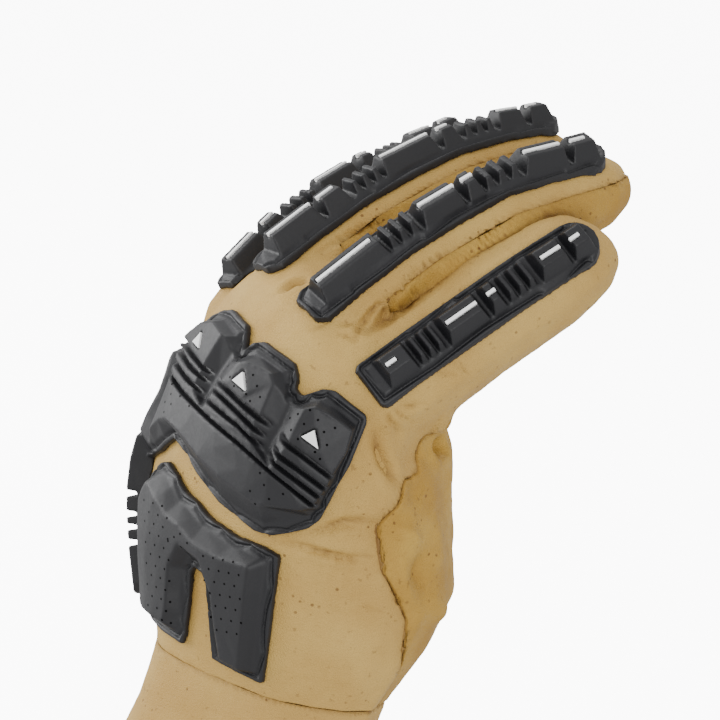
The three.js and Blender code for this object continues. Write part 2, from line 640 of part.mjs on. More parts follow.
const knuckleTop = [
  { x: 0.321, y: -0.232 }, { x: 0.357, y: -0.211 }, { x: 0.393, y: -0.128 },
  { x: 0.41, y: -0.033 }, { x: 0.387, y: 0.017 }, { x: 0.295, y: 0.012 },
  { x: 0.252, y: 0.006 }, { x: 0.203, y: -0.025 }, { x: 0.161, y: -0.035 },
  { x: 0.125, y: -0.021 }, { x: 0.082, y: -0.01 }, { x: -0.033, y: -0.03 },
  { x: -0.082, y: -0.049 }, { x: -0.128, y: -0.066 }, { x: -0.174, y: -0.055 },
  { x: -0.2, y: -0.039 }, { x: -0.305, y: -0.033 }, { x: -0.508, y: -0.035 },
  { x: -0.689, y: -0.039 }, { x: -0.885, y: -0.057 }, { x: -0.984, y: -0.113 },
  { x: -1, y: -0.205 }, { x: -0.951, y: -0.308 }, { x: -0.828, y: -0.308 },
  { x: -0.623, y: -0.248 }, { x: -0.541, y: -0.258 }, { x: -0.482, y: -0.279 },
  { x: -0.387, y: -0.318 }, { x: -0.215, y: -0.351 }, { x: -0.056, y: -0.343 },
  { x: 0.089, y: -0.324 }, { x: 0.18, y: -0.305 },
];
const thumbArm = [
  { x: -0.833, y: -0.308 }, { x: -1.016, y: -0.308 }, { x: -1.041, y: -0.513 },
  { x: -1.033, y: -0.718 }, { x: -1.008, y: -0.841 }, { x: -0.934, y: -0.877 },
  { x: -0.852, y: -0.867 }, { x: -0.826, y: -0.821 }, { x: -0.833, y: -0.615 },
];
const backFlange = [
  { x: 0.25, y: -0.944 }, { x: 0.266, y: -0.708 }, { x: 0.268, y: -0.447 },
  { x: 0.203, y: -0.451 }, { x: 0.028, y: -0.498 }, { x: -0.169, y: -0.516 },
  { x: -0.366, y: -0.491 }, { x: -0.58, y: -0.378 }, { x: -0.664, y: -0.373 },
  { x: -0.752, y: -0.421 }, { x: -0.796, y: -0.482 }, { x: -0.798, y: -0.608 },
  { x: -0.796, y: -0.738 }, { x: -0.78, y: -0.908 }, { x: -0.721, y: -0.933 },
  { x: -0.52, y: -0.949 }, { x: -0.285, y: -0.954 }, { x: -0.269, y: -0.862 },
  { x: -0.259, y: -0.722 }, { x: -0.233, y: -0.699 }, { x: -0.179, y: -0.699 },
  { x: -0.152, y: -0.72 }, { x: -0.121, y: -0.821 }, { x: -0.079, y: -0.944 },
];
const backBody = [
  { x: 0.203, y: -0.913 }, { x: 0.218, y: -0.708 }, { x: 0.22, y: -0.487 },
  { x: 0.197, y: -0.482 }, { x: 0.02, y: -0.529 }, { x: -0.174, y: -0.547 },
  { x: -0.38, y: -0.519 }, { x: -0.593, y: -0.406 }, { x: -0.656, y: -0.404 },
  { x: -0.728, y: -0.441 }, { x: -0.764, y: -0.497 }, { x: -0.764, y: -0.738 },
  { x: -0.744, y: -0.887 }, { x: -0.697, y: -0.905 }, { x: -0.516, y: -0.917 },
  { x: -0.328, y: -0.923 }, { x: -0.315, y: -0.862 }, { x: -0.308, y: -0.712 },
  { x: -0.262, y: -0.669 }, { x: -0.154, y: -0.669 }, { x: -0.102, y: -0.714 },
  { x: -0.069, y: -0.821 }, { x: -0.023, y: -0.913 },
];
const backTop = [
  { x: 0.155, y: -0.898 }, { x: 0.166, y: -0.708 }, { x: 0.168, y: -0.529 },
  { x: 0.164, y: -0.525 }, { x: 0, y: -0.574 }, { x: -0.184, y: -0.595 },
  { x: -0.426, y: -0.56 }, { x: -0.646, y: -0.449 }, { x: -0.672, y: -0.451 },
  { x: -0.705, y: -0.476 }, { x: -0.731, y: -0.513 }, { x: -0.734, y: -0.738 },
  { x: -0.718, y: -0.868 }, { x: -0.682, y: -0.882 }, { x: -0.525, y: -0.892 },
  { x: -0.403, y: -0.896 }, { x: -0.38, y: -0.841 }, { x: -0.37, y: -0.708 },
  { x: -0.289, y: -0.63 }, { x: -0.131, y: -0.63 }, { x: -0.043, y: -0.704 },
  { x: -0.007, y: -0.814 }, { x: 0.033, y: -0.898 },
];
const armHeight = 6.4;
const armTaper = 2;
const armNotches = [-0.521, -0.589, -0.633, -0.683];
const notchWidth = 1.4;
const notchSpread = 0.5;

// Four grooves run across the knuckle guard and leave three ribs. Each column is one groove.
const grooves = [
  { x: -0.6, first: -0.018, second: -0.036, third: -0.064, last: -0.1 },
  { x: -0.557, first: -0.035, second: -0.055, third: -0.086, last: -0.126 },
  { x: -0.426, first: -0.088, second: -0.116, third: -0.155, last: -0.201 },
  { x: -0.295, first: -0.122, second: -0.152, third: -0.193, last: -0.234 },
  { x: -0.213, first: -0.121, second: -0.151, third: -0.192, last: -0.234 },
  { x: -0.115, first: -0.107, second: -0.136, third: -0.178, last: -0.222 },
  { x: 0, first: -0.098, second: -0.124, third: -0.157, last: -0.205 },
  { x: 0.115, first: -0.084, second: -0.114, third: -0.146, last: -0.187 },
  { x: 0.197, first: -0.081, second: -0.115, third: -0.142, last: -0.175 },
  { x: 0.295, first: -0.076, second: -0.109, third: -0.139, last: -0.175 },
  { x: 0.44, first: -0.106, second: -0.147, third: -0.186, last: -0.231 },
];
const grooveWidth = 1.3;
const grooveFloor = 3.4;

// The valleys between the guard's lobes run from a notch down to the band below the grooves
const valleys = [
  [{ x: -0.607, y: -0.015 }, { x: -0.664, y: -0.108 }, { x: -0.787, y: -0.267 }, { x: -0.82, y: -0.37 }],
  [{ x: -0.115, y: -0.02 }, { x: -0.216, y: -0.115 }, { x: -0.29, y: -0.21 }],
  [{ x: 0.17, y: -0.005 }, { x: 0.174, y: -0.073 }, { x: 0.142, y: -0.16 }],
];
const valleyWidth = 8;
const valleyFloor = 0.8;

// The white triangles on the knuckle guard
const triangles = [
  { name: 'middle',
    corners: [{ x: -0.418, y: -0.067 }, { x: -0.354, y: -0.083 }, { x: -0.367, y: -0.054 }] },
  { name: 'ring',
    corners: [{ x: -0.062, y: -0.074 }, { x: 0.011, y: -0.068 }, { x: -0.026, y: -0.046 }] },
  { name: 'pinky',
    corners: [{ x: 0.267, y: -0.046 }, { x: 0.326, y: -0.047 }, { x: 0.29, y: -0.022 }] },
];
const inlayDepth = 0.8;
const inlayProud = 0.2;

// A point of the flat drawing in its place on the hand
function onHand(x, y, z) {
  const at = y < 0 ? y / palmLength : y / webReach;
  const turn = (3 * x / knuckleSpan + 3) / 10;
  const place = (t, row) => handCurve(row, 0).getPoint((t + 1) % 1);
  const small = 0.002;
  const across = place(turn + small, at).sub(place(turn - small, at));
  const along = place(turn, at + small).sub(place(turn, at - small));
  return place(turn, at).addScaledVector(across.cross(along).normalize(), clearance + z);
}
const outline = table => table.map(({ x, y }) => corner(x * knuckleSpan, y * palmLength));

// A ribbon of one width along a line, as a closed outline
function ribbon(line, width) {
  const sides = [-1, 1].map(side => line.map((point, i) => {
    const before = line[Math.max(0, i - 1)];
    const after = line[Math.min(line.length - 1, i + 1)];
    const ahead = after.clone().sub(before).normalize();
    return corner(point.x - side * ahead.y * width / 2, point.y + side * ahead.x * width / 2);
  }));
  return [...sides[0], ...sides[1].reverse()];
}

const flange = (table, height, taper) => plate(outline(table), inset(outline(table), taper), -sunk, height);
// Bodies start a little inside their flange, and cuts reach a little above what they cut
const bodyBase = flangeHeight - 0.4;
const cutHeight = plateHeight + 2;
const cutMargin = 0.1;
const trenches = ['first', 'second', 'third', 'last'].map(key => {
  const line = ribbon(outline(grooves.map(row => ({ x: row.x, y: row[key] }))), grooveWidth);
  return plate(line, line, grooveFloor, cutHeight);
});
const valleyCuts = valleys.map(line => plate(ribbon(outline(line), valleyFloor),
  ribbon(outline(line), valleyWidth), grooveFloor - 3 * cutMargin, plateHeight + cutMargin));
const armEdges = outline(thumbArm).map(({ x }) => x);
const notchCuts = armNotches.map(share => ridge(
  Math.min(...armEdges) - notchWidth, Math.max(...armEdges) + notchWidth,
  share * palmLength - notchWidth / 2, share * palmLength + notchWidth / 2,
  0, -notchSpread, grooveFloor, cutHeight));
const arm = notchCuts.reduce((sum, cut) => sum.subtract(cut), flange(thumbArm, armHeight, armTaper));
const lobes = [...trenches, ...valleyCuts].reduce((sum, cut) => sum.subtract(cut),
  plate(outline(knuckleBody), outline(knuckleTop), bodyBase, plateHeight));
const inlay = (corners, room) => plate(inset(outline(corners), -room), inset(outline(corners), -room),
  plateHeight - inlayDepth - room, plateHeight + inlayProud + 2 * room);
const knuckleFlat = triangles.reduce((sum, { corners }) => sum.subtract(inlay(corners, clearance)),
  union([flange(knuckleFlange, flangeHeight, flangeTaper), lobes, arm]));
addPiece('knuckle_guard', bend(knuckleFlat, onHand, handStep).subtract(seat), colours.rubber, 0.6);
for (const { name, corners } of triangles) {
  addPiece(`${name}_knuckle_triangle`, bend(inlay(corners, 0), onHand, handStep), colours.white, 0.5);
}

const handBack = union([flange(backFlange, flangeHeight, flangeTaper),
  plate(outline(backBody), outline(backTop), bodyBase, plateHeight)]);
addPiece('hand_back_guard', bend(handBack, onHand, handStep).subtract(seat), colours.rubber, 0.6);

// The finger guards: a flange with blocks, each with a white dash let into its top, and groups
// of three ribs where the finger bends. Places along the finger are shares of its length, and
// `cut` is how far the two corners at the knuckle end are cut off.
const guardWidth = 15;
const blockBase = 10.4;
const blockTop = 5.4;
const blockHeight = 6.6;
const blockSlope = 1.3;
const ribPitch = 3;
const ribBase = 2.2;
const ribTop = 1.1;
const ribDrop = 1;
const ribInset = 0.6;
const ribSlope = 1.6;
const dashWidth = 1;
const fingerGuards = [
  { name: 'index', start: 0.137, end: 1.16, cut: 3, ribs: [0.487, 0.85],
    blocks: [
      { from: 0.176, to: 0.336, dashFrom: 0.197, dashTo: 0.319 },
      { from: 0.351, to: 0.426, dashFrom: 0.362, dashTo: 0.41 },
      { from: 0.543, to: 0.706, dashFrom: 0.559, dashTo: 0.689 },
      { from: 0.717, to: 0.777, dashFrom: 0.729, dashTo: 0.761 },
      { from: 0.92, to: 1.037, dashFrom: 0.941, dashTo: 1.021 },
      { from: 1.05, to: 1.133, dashFrom: 1.064, dashTo: 1.101 },
    ] },
  { name: 'middle', start: 0.085, end: 1.065, cut: 3, ribs: [0.455, 0.795],
    blocks: [
      { from: 0.131, to: 0.301, dashFrom: 0.143, dashTo: 0.293 },
      { from: 0.311, to: 0.399, dashFrom: 0.319, dashTo: 0.376 },
      { from: 0.5, to: 0.683, dashFrom: 0.518, dashTo: 0.674 },
      { from: 0.693, to: 0.747, dashFrom: 0.703, dashTo: 0.731 },
      { from: 0.849, to: 0.943, dashFrom: 0.868, dashTo: 0.936 },
      { from: 0.955, to: 1.035, dashFrom: 0.967, dashTo: 1.001 },
    ] },
  { name: 'ring', start: 0.1, end: 1.07, cut: 2.6, ribs: [0.427, 0.72],
    blocks: [
      { from: 0.147, to: 0.378, dashFrom: 0.166, dashTo: 0.352 },
      { from: 0.478, to: 0.614, dashFrom: 0.492, dashTo: 0.606 },
      { from: 0.624, to: 0.675, dashFrom: 0.632, dashTo: 0.664 },
      { from: 0.772, to: 0.921, dashFrom: 0.787, dashTo: 0.907 },
      { from: 0.933, to: 1.03, dashFrom: 0.947, dashTo: 0.996 },
    ] },
  { name: 'pinky', start: 0.112, end: 1.078, cut: 1.4, ribs: [0.358, 0.736],
    blocks: [
      { from: 0.17, to: 0.295, dashFrom: 0.195, dashTo: 0.236 },
      { from: 0.428, to: 0.599, dashFrom: 0.451, dashTo: 0.581 },
      { from: 0.614, to: 0.672, dashFrom: 0.627, dashTo: 0.659 },
      { from: 0.809, to: 0.937, dashFrom: 0.837, dashTo: 0.918 },
      { from: 0.949, to: 1.04, dashFrom: 0.962, dashTo: 1.001 },
    ] },
];
const tipSteps = 8;

// The flange of a finger guard: cut corners at the knuckle end and a round far end
function guardOutline(start, end, cut) {
  const half = guardWidth / 2;
  const points = [corner(-half, start + cut), corner(-half + cut, start),
    corner(half - cut, start), corner(half, start + cut)];
  for (let i = 0; i <= tipSteps; i++) {
    const angle = Math.PI * i / tipSteps;
    points.push(corner(half * Math.cos(angle), end - half + half * Math.sin(angle)));
  }
  return points;
}

for (const guard of fingerGuards) {
  const finger = fingers.find(({ name }) => name === guard.name);
  const y = share => share * finger.length;
  const onFinger = (across, s, z) => {
    const row = Math.min(fingerSections[fingerSections.length - 1].at, s / finger.length);
    const wide = column(fingerSections, row, 'wide') * finger.thick * fingerWidth / 2;
    const back = column(fingerSections, row, 'back') * finger.thick * boneToBack;
    const flank = across < 0 ? column(fingerSections, row, 'flank') * finger.flank : 0;
    const power = roundness + flank / 2;
    const fall = (1 - Math.min(0.95, Math.abs(across / (wide + flank))) ** power) ** (1 / power);
    return offset(rayAt(finger, s), 0, back * fall + clearance + z, across);
  };
  const slopeX = (blockBase - blockTop) / 2;
  const edge = guardOutline(y(guard.start), y(guard.end), guard.cut);
  const parts = [plate(edge, inset(edge, flangeTaper), -sunk, flangeHeight)];
  const dashes = [];
  for (const { from, to, dashFrom, dashTo } of guard.blocks) {
    parts.push(ridge(-blockBase / 2, blockBase / 2, y(from), y(to), slopeX, blockSlope, bodyBase, blockHeight));
    dashes.push({ from: y(dashFrom), to: y(dashTo) });
  }
  for (const share of guard.ribs) {
    for (const step of [-1, 0, 1]) {
      const at = y(share) + step * ribPitch;
      parts.push(ridge(-blockBase / 2 + ribInset, blockBase / 2 - ribInset, at - ribBase / 2, at + ribBase / 2,
        ribSlope, (ribBase - ribTop) / 2, bodyBase, blockHeight - ribDrop));
    }
  }
  const dash = ({ from, to }, room) => {
    const half = dashWidth / 2 + room;
    return ridge(-half, half, from - room, to + room, 0, 0,
      blockHeight - inlayDepth - room, blockHeight + inlayProud + 2 * room);
  };
  const flat = dashes.reduce((sum, item) => sum.subtract(dash(item, clearance)), union(parts));
  addPiece(`${guard.name}_finger_guard`, bend(flat, onFinger, fingerStep).subtract(seat), colours.rubber, 0.6);
  dashes.forEach((item, i) => {
    addPiece(`${guard.name}_dash_${i + 1}`, bend(dash(item, 0), onFinger, fingerStep), colours.white, 0.5);
  });
}

export default glove;
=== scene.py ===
"""An impact glove for the right hand, held up half closed over a pale floor."""

import math

import bpy
import numpy as np
from mathutils import Matrix, Vector, noise
from mathutils.bvhtree import BVHTree


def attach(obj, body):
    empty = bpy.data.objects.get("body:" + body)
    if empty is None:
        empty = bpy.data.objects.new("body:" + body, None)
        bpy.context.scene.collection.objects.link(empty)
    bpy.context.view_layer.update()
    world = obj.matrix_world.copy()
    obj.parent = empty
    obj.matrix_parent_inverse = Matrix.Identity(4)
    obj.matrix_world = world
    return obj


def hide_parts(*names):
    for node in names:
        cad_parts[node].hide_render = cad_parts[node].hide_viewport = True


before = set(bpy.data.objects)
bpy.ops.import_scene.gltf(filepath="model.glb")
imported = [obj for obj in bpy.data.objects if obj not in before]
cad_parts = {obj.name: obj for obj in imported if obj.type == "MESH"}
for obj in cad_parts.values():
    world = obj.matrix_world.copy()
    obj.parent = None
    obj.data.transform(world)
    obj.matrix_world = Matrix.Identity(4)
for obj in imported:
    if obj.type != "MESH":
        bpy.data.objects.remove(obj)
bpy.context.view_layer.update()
mm = 0.001

# The view: a long lens a little above the glove, turned towards the little finger's side and
# tipped, so that the cuff leaves the picture at the bottom and the fingers point to the right.
azimuth = math.radians(51.1)
elevation = math.radians(14.15)
roll = math.radians(8.95)
distance = 0.8869
target = Vector((0.02556, 0.00779, 0.14497))
to_camera = Vector((
    math.sin(azimuth) * math.cos(elevation),
    -math.cos(azimuth) * math.cos(elevation),
    math.sin(elevation),
))
level = Vector((math.cos(azimuth), math.sin(azimuth), 0))
upright = to_camera.cross(level)
right = math.cos(roll) * level + math.sin(roll) * upright
top = math.cos(roll) * upright - math.sin(roll) * level
bpy.ops.object.camera_add()
camera = bpy.context.object
camera.data.lens = 159.6
camera.data.clip_end = 20
stand = Matrix((right, top, to_camera)).transposed().to_4x4()
stand.translation = target + distance * to_camera
camera.matrix_world = stand
eye = stand.translation.copy()
bpy.context.scene.camera = camera

# The studio: a white floor below the cuff, a pale room, and broad lamps over the thumb's side,
# which light the upper left faces of the rubber, and beside the camera.
world = bpy.data.worlds.new("studio")
world.use_nodes = True
room = world.node_tree.nodes["Background"]
room.inputs["Color"].default_value = (1, 1, 1, 1)
room.inputs["Strength"].default_value = 1.05
bpy.context.scene.world = world


def lamp(name, position, size, power):
    """A square soft lamp that shines at the glove, with its side in metres and power in watts."""
    bpy.ops.object.light_add(type="AREA", location=position)
    light = bpy.context.object
    light.name = name
    light.data.size = size
    light.data.energy = power
    light.rotation_euler = (target - Vector(position)).to_track_quat("-Z", "Y").to_euler()


lamp("side_lamp", (-0.8, -0.55, 0.3), 0.8, 11)
lamp("top_lamp", (-0.5, -0.1, 1.0), 0.6, 4)
lamp("front_lamp", (0.95, -0.6, 0.3), 1.0, 9.5)
floor_size = 6
floor_drop = 4 * mm
bpy.ops.object.select_all(action="DESELECT")
bpy.ops.mesh.primitive_plane_add(size=floor_size, location=(0, 0, -floor_drop))
floor = bpy.context.object
floor.name = "floor"
paint = bpy.data.materials.new("pale_floor")
paint.use_nodes = True
shader = paint.node_tree.nodes["Principled BSDF"]
shader.inputs["Base Color"].default_value = (0.93, 0.93, 0.93, 1)
shader.inputs["Roughness"].default_value = 0.9
shader.inputs["Emission Color"].default_value = (1, 1, 1, 1)
shader.inputs["Emission Strength"].default_value = 9
floor.data.materials.append(paint)
floor.visible_diffuse = False
floor.visible_glossy = False


# The leather of the hand: two shells, tan grain leather over the back and yellower leather in
# the palm, sewn together along the sides. Each is a smooth copy of its solids with folds pushed
# into it, a grain of pores and fine creases, and shade painted into its colour.
class Knot:
    """A socket in a shader, with arithmetic."""

    def __init__(self, tree, socket):
        self.tree = tree
        self.socket = socket

    def node(self, kind, settings=None, **sockets):
        """A new node of that kind, given its settings and then its sockets."""
        new = self.tree.nodes.new(kind)
        for name, value in (settings or {}).items():
            setattr(new, name, value)
        for name, value in sockets.items():
            title = name.replace("_", " ")
            socket = new.inputs[{"a": 0, "b": 1}.get(title, title)]
            if isinstance(value, Knot):
                self.tree.links.new(value.socket, socket)
            else:
                socket.default_value = value
        return new

    def get(self, kind, settings=None, output=0, **sockets):
        """The output of a new node as a knot."""
        return Knot(self.tree, self.node(kind, settings, **sockets).outputs[output])

    def maths(self, operation, other, swap=False):
        """This socket and another number or socket through one operation."""
        a, b = (other, self) if swap else (self, other)
        return self.get("ShaderNodeMath", {"operation": operation}, a=a, b=b)

    def __add__(self, other):
        return self.maths("ADD", other)

    def __sub__(self, other):
        return self.maths("SUBTRACT", other)

    def __mul__(self, other):
        return self.maths("MULTIPLY", other)

    def __rsub__(self, other):
        return self.maths("SUBTRACT", other, swap=True)

    __radd__ = __add__
    __rmul__ = __mul__

    def step(self, low, high):
        """0 below low, 1 above high and smooth between."""
        settings = {"interpolation_type": "SMOOTHSTEP"}
        return self.get(
            "ShaderNodeMapRange", settings, Value=self, From_Min=low, From_Max=high
        )

    def mix(self, first, second):
        """Between two colours, by this socket."""
        new = self.tree.nodes.new("ShaderNodeMix")
        new.data_type = "RGBA"
        self.tree.links.new(self.socket, new.inputs["Factor"])
        for name, value in (("A", first), ("B", second)):
            socket = next(s for s in new.inputs if s.name == name and s.type == "RGBA")
            if isinstance(value, Knot):
                self.tree.links.new(value.socket, socket)
            else:
                socket.default_value = value
        return Knot(self.tree, next(s for s in new.outputs if s.type == "RGBA"))

    def cloud(self, scale, detail=3.0, roughness=0.55):
        """Noise at this place."""
        return self.get(
            "ShaderNodeTexNoise", Vector=self, Scale=scale, Detail=detail, Roughness=roughness
        )

    def into(self, shader, title):
        """Feeds this socket into a shader's input."""
        self.tree.links.new(self.socket, shader.inputs[title])


def new_material(name):
    """An empty material, its shader and a knot of the Object coordinates."""
    material = bpy.data.materials.new(name)
    material.use_nodes = True
    shader = material.node_tree.nodes["Principled BSDF"]
    where = Knot(material.node_tree, None).get("ShaderNodeTexCoord", output=3)
    return material, shader, where


def leather(name, light, dark, stain, crevice):
    """Grain leather: two tones, stains, pores, pebbled grain, fine creases and painted shade."""
    pebbles, pits, pit_areas, crease_size, speck_size = 1100, 330, 90, 160, 420
    material, shader, where = new_material(name)
    tone = where.cloud(38, 4.0).step(0.32, 0.68)
    patches = where.cloud(16, 5.0, 0.65).step(0.5, 0.8)
    grain = where.get(
        "ShaderNodeTexVoronoi", {"feature": "DISTANCE_TO_EDGE"}, Vector=where, Scale=pebbles
    )
    pores = 1 - where.get("ShaderNodeTexVoronoi", Vector=where, Scale=pits).step(0.1, 0.2)
    pores = pores * where.cloud(pit_areas, 2.0).step(0.5, 0.62)
    turn, stretch = (0.3, 0.4, 0.9), (1, 1, 3)
    stretched = where.get("ShaderNodeMapping", Vector=where, Rotation=turn, Scale=stretch)
    creases = stretched.cloud(crease_size, 6.0, 0.7)
    painted_shade = where.get("ShaderNodeAttribute", {"attribute_name": "painted_shade"}, output=2)
    colour = tone.mix(dark, light)
    colour = (patches * 0.5).mix(colour, stain)
    colour = (creases.step(0.42, 0.3) * 0.25).mix(colour, stain)
    colour = (pores * 0.75).mix(colour, crevice)
    specks = where.cloud(speck_size, 2.0).step(0.66, 0.74)
    colour = (specks * 0.35).mix(colour, crevice)
    # Painted shade: the colour goes towards the crevice colour where the shells' attribute is
    # high.
    (painted_shade * 0.8).mix(colour, crevice).into(shader, "Base Color")
    (0.58 + 0.16 * creases).into(shader, "Roughness")
    height = 0.35 * grain.step(0, 0.25) + 1.6 * creases - 0.9 * pores
    bump = where.get("ShaderNodeBump", Height=height, Strength=0.55, Distance=0.5 * mm)
    bump.into(shader, "Normal")
    shader.inputs["Specular IOR Level"].default_value = 0.3
    return material


# The crevice colour darkens the pores and specks, and is also the painted shade in the folds,
# beside the seams and between the fingers.
tan = leather(
    "tan_leather",
    light=(0.5, 0.325, 0.09, 1),
    dark=(0.43, 0.26, 0.066, 1),
    stain=(0.34, 0.19, 0.042, 1),
    crevice=(0.13, 0.055, 0.012, 1),
)
gold = leather(
    "gold_leather",
    light=(0.47, 0.29, 0.056, 1),
    dark=(0.36, 0.2, 0.032, 1),
    stain=(0.26, 0.125, 0.018, 1),
    crevice=(0.1, 0.036, 0.006, 1),
)
fingers = ("index", "middle", "ring", "pinky")
guard_nodes = ["knuckle_guard", "hand_back_guard"]
guard_nodes += [f"{finger}_finger_guard" for finger in fingers]


def surface_of(nodes):
    """The faces of several CAD nodes, for finding the nearest point or what a ray meets."""
    points, faces = [], []
    for node in nodes:
        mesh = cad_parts[node].data
        start = len(points)
        points += [vertex.co.copy() for vertex in mesh.vertices]
        faces += [[start + i for i in face.vertices] for face in mesh.polygons]
    return BVHTree.FromPolygons(points, faces)


same_place = 0.01 * mm


def soft_copy(name, nodes, swell, voxel, turns):
    """One copy of several solids, which stands for them: swollen, remeshed evenly and smoothed."""
    bpy.ops.object.select_all(action="DESELECT")
    for node in nodes:
        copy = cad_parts[node].copy()
        copy.data = copy.data.copy()
        copy.parent = None
        copy.matrix_world = Matrix.Identity(4)
        copy.hide_viewport = False
        bpy.context.collection.objects.link(copy)
        copy.select_set(True)
        bpy.context.view_layer.objects.active = copy
    if len(nodes) > 1:
        bpy.ops.object.join()
    piece = bpy.context.view_layer.objects.active
    piece.name = piece.data.name = name
    bpy.ops.object.mode_set(mode="EDIT")
    bpy.ops.mesh.select_all(action="SELECT")
    bpy.ops.mesh.remove_doubles(threshold=same_place)
    if swell:
        bpy.ops.transform.shrink_fatten(value=swell)
    bpy.ops.object.mode_set(mode="OBJECT")
    remesh = piece.modifiers.new("even", "REMESH")
    remesh.mode = "VOXEL"
    remesh.voxel_size = voxel
    bpy.ops.object.modifier_apply(modifier=remesh.name)
    even = piece.modifiers.new("smooth", "SMOOTH")
    even.factor = 0.5
    even.iterations = turns
    bpy.ops.object.modifier_apply(modifier=even.name)
    bpy.ops.object.shade_smooth()
    piece.data.materials.clear()
    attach(piece, "root")
    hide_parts(*nodes)
    return piece


def corners(piece):
    """The places of a piece's corners as an array."""
    found = np.empty(len(piece.data.vertices) * 3)
    piece.data.vertices.foreach_get("co", found)
    return found.reshape(-1, 3)


def directions(piece):
    """The outward directions at a piece's corners as an array."""
    found = np.empty(len(piece.data.vertices) * 3)
    piece.data.vertex_normals.foreach_get("vector", found)
    return found.reshape(-1, 3)


def put_corners(piece, places):
    """Moves a piece's corners to these places."""
    piece.data.vertices.foreach_set("co", places.ravel())
    piece.data.update()


def close_seam(piece, other):
    """Draws the rim of a shell up to the middle of the gap that the solids keep at a seam."""
    reach, full, gap = 3 * mm, 1.4 * mm, 0.15 * mm
    places = corners(piece)
    for i, place in enumerate(places):
        near, _, _, away = other.find_nearest(Vector(place), reach)
        if near is None or away < 1e-6:
            continue
        share = min(1, (reach - away) / (reach - full))
        eased_share = share * share * (3 - 2 * share)
        places[i] += (np.array(near) - place) / away * (away - gap) * eased_share
    put_corners(piece, places)


coarser = 1
voxel = 1 * mm * coarser
hand_swell = 0.16 * mm
hand_turns = 12
tube_turns = 10
back_nodes = ["back_leather"] + [f"{finger}_finger_back" for finger in fingers]
palm_nodes = ["palm_leather"] + [f"{finger}_finger_front" for finger in fingers]
back_shell = soft_copy("back_shell", back_nodes, hand_swell, voxel, hand_turns)
back_shell.data.materials.append(tan)
palm_shell = soft_copy("palm_shell", palm_nodes, hand_swell, voxel, hand_turns)
palm_shell.data.materials.append(gold)
close_seam(back_shell, surface_of(palm_nodes + ["cuff"]))
close_seam(palm_shell, surface_of(back_nodes + ["cuff"]))

# The thumb: a separate tube of the palm's leather, sewn into it at its root. It is hidden in the
# photograph, so it is plain.
thumb = soft_copy("thumb_shell", ["thumb"], 0, voxel, tube_turns)
thumb.data.materials.append(gold)

# The cuff: a plain sleeve of the tan leather below the wrist, of which the photograph's lower
# edge leaves nothing to see. Its upper rim is drawn up to the hand's leather.
cuff = soft_copy("cuff_shell", ["cuff"], 0, voxel, tube_turns)
cuff.data.materials.append(tan)
close_seam(cuff, surface_of(back_nodes + palm_nodes))
